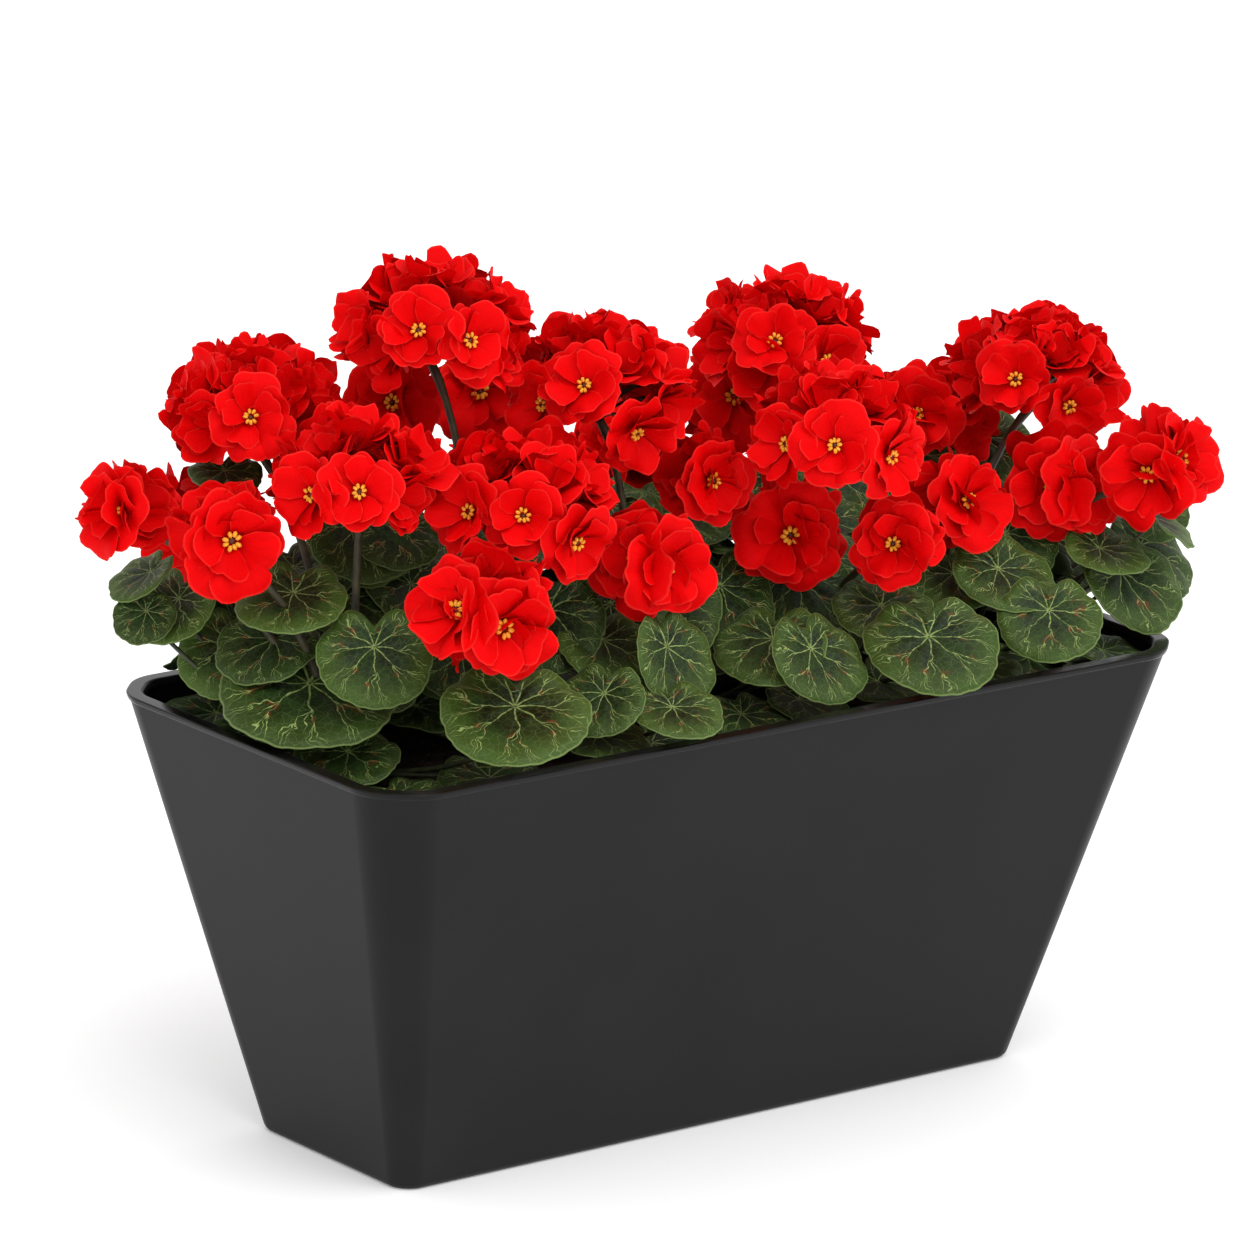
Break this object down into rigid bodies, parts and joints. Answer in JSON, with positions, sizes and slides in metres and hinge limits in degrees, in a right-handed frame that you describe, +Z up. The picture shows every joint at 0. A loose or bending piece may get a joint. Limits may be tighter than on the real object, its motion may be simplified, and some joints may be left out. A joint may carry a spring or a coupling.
{
  "type": "planted window box",
  "caption": "Tapered charcoal window-box planter filled with soil and leafy plants that carry domed heads of double scarlet flowers.",
  "frame": {"origin": "centre of the planter's flat underside", "axes": "+X along the planter's length, -Y its front, +Z up"},
  "size_m": [0.6984, 0.3381, 0.514],
  "materials": {
    "planter": "satin charcoal",
    "soil": "dark crumbly potting soil",
    "foliage": "satin veined leaf green",
    "petals": "velvety scarlet"
  },
  "bodies": {
    "root": {"flower_back_1": "petals", "flower_back_2": "petals", "flower_back_3": "petals", "flower_back_4": "petals", "flower_back_5": "petals", "flower_back_6": "petals", "flower_dome_1": "petals", "flower_dome_2": "petals", "flower_dome_3": "petals", "flower_dome_4": "petals", "flower_dome_5": "petals", "flower_dome_6": "petals", "flower_dome_7": "petals", "flower_dome_8": "petals", "flower_spray_1": "petals", "flower_spray_10": "petals", "flower_spray_11": "petals", "flower_spray_12": "petals", "flower_spray_13": "petals", "flower_spray_14": "petals", "flower_spray_15": "petals", "flower_spray_2": "petals", "flower_spray_4": "petals", "flower_spray_5": "petals", "flower_spray_6": "petals", "flower_spray_7": "petals", "flower_spray_8": "petals", "flower_spray_9": "petals", "plant_1": "foliage", "plant_2": "foliage", "plant_3": "foliage", "plant_4": "foliage", "plant_5": "foliage", "planter": "planter", "potting_soil": "soil"}
  },
  "joints": []
}
